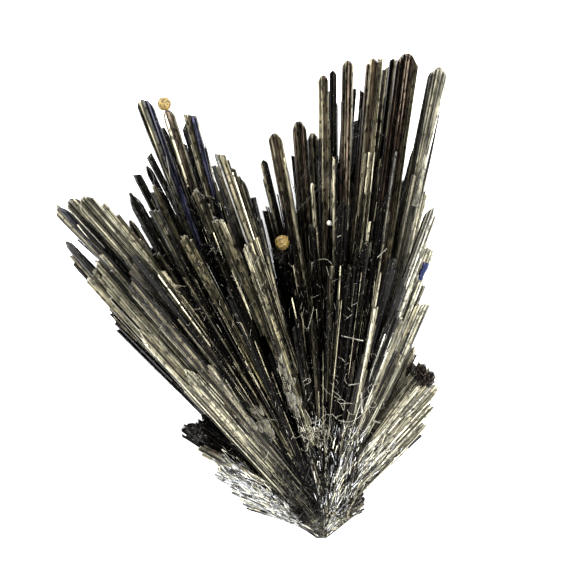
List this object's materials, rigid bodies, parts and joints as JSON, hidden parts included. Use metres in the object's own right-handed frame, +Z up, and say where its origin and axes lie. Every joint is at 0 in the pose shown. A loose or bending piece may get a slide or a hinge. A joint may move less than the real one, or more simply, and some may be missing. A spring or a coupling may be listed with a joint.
{
  "type": "stibnite crystal spray",
  "caption": "Radiating spray of long striated metallic blades fanned from one broken root, with small mineral balls and loose splinters on the blades.",
  "frame": {"origin": "centre of the footprint, on the plane that the spray lies on", "axes": "+Z up, away from the resting plane; +Y from the broken root towards the longest tips; +X to the right when seen from above"},
  "size_m": [0.046, 0.0582, 0.0214],
  "materials": {
    "stibnite": "bright metallic with fine lengthwise striations and dark tarnish",
    "silvery_stibnite": "silvery broken fibrous metal",
    "pale_debris": "bright cleaved splinters and pale lint",
    "yellow_mineral": "honey yellow, granular and dull",
    "white_mineral": "pale and waxy"
  },
  "bodies": {
    "root": {"broken_root": "silvery_stibnite", "silver_flake_sheaf": "silvery_stibnite", "tan_stub_sheaf": "stibnite", "dark_stub_sheaf": "stibnite", "left_under_sheaf": "stibnite", "left_outer_sheaf": "stibnite", "left_inner_sheaf": "stibnite", "tall_left_sheaf": "stibnite", "ridge_sheaf": "stibnite", "notch_sheaf": "stibnite", "right_tall_sheaf": "stibnite", "far_right_blade_sheaf": "stibnite", "right_flank_sheaf": "stibnite", "lower_right_tuft": "stibnite", "yellow_ball_on_tip": "yellow_mineral", "yellow_ball_in_notch": "yellow_mineral", "white_bead": "white_mineral", "loose_splinter_1": "pale_debris", "loose_splinter_2": "pale_debris", "loose_splinter_3": "pale_debris", "loose_splinter_4": "pale_debris", "loose_splinter_5": "pale_debris"}
  },
  "joints": []
}
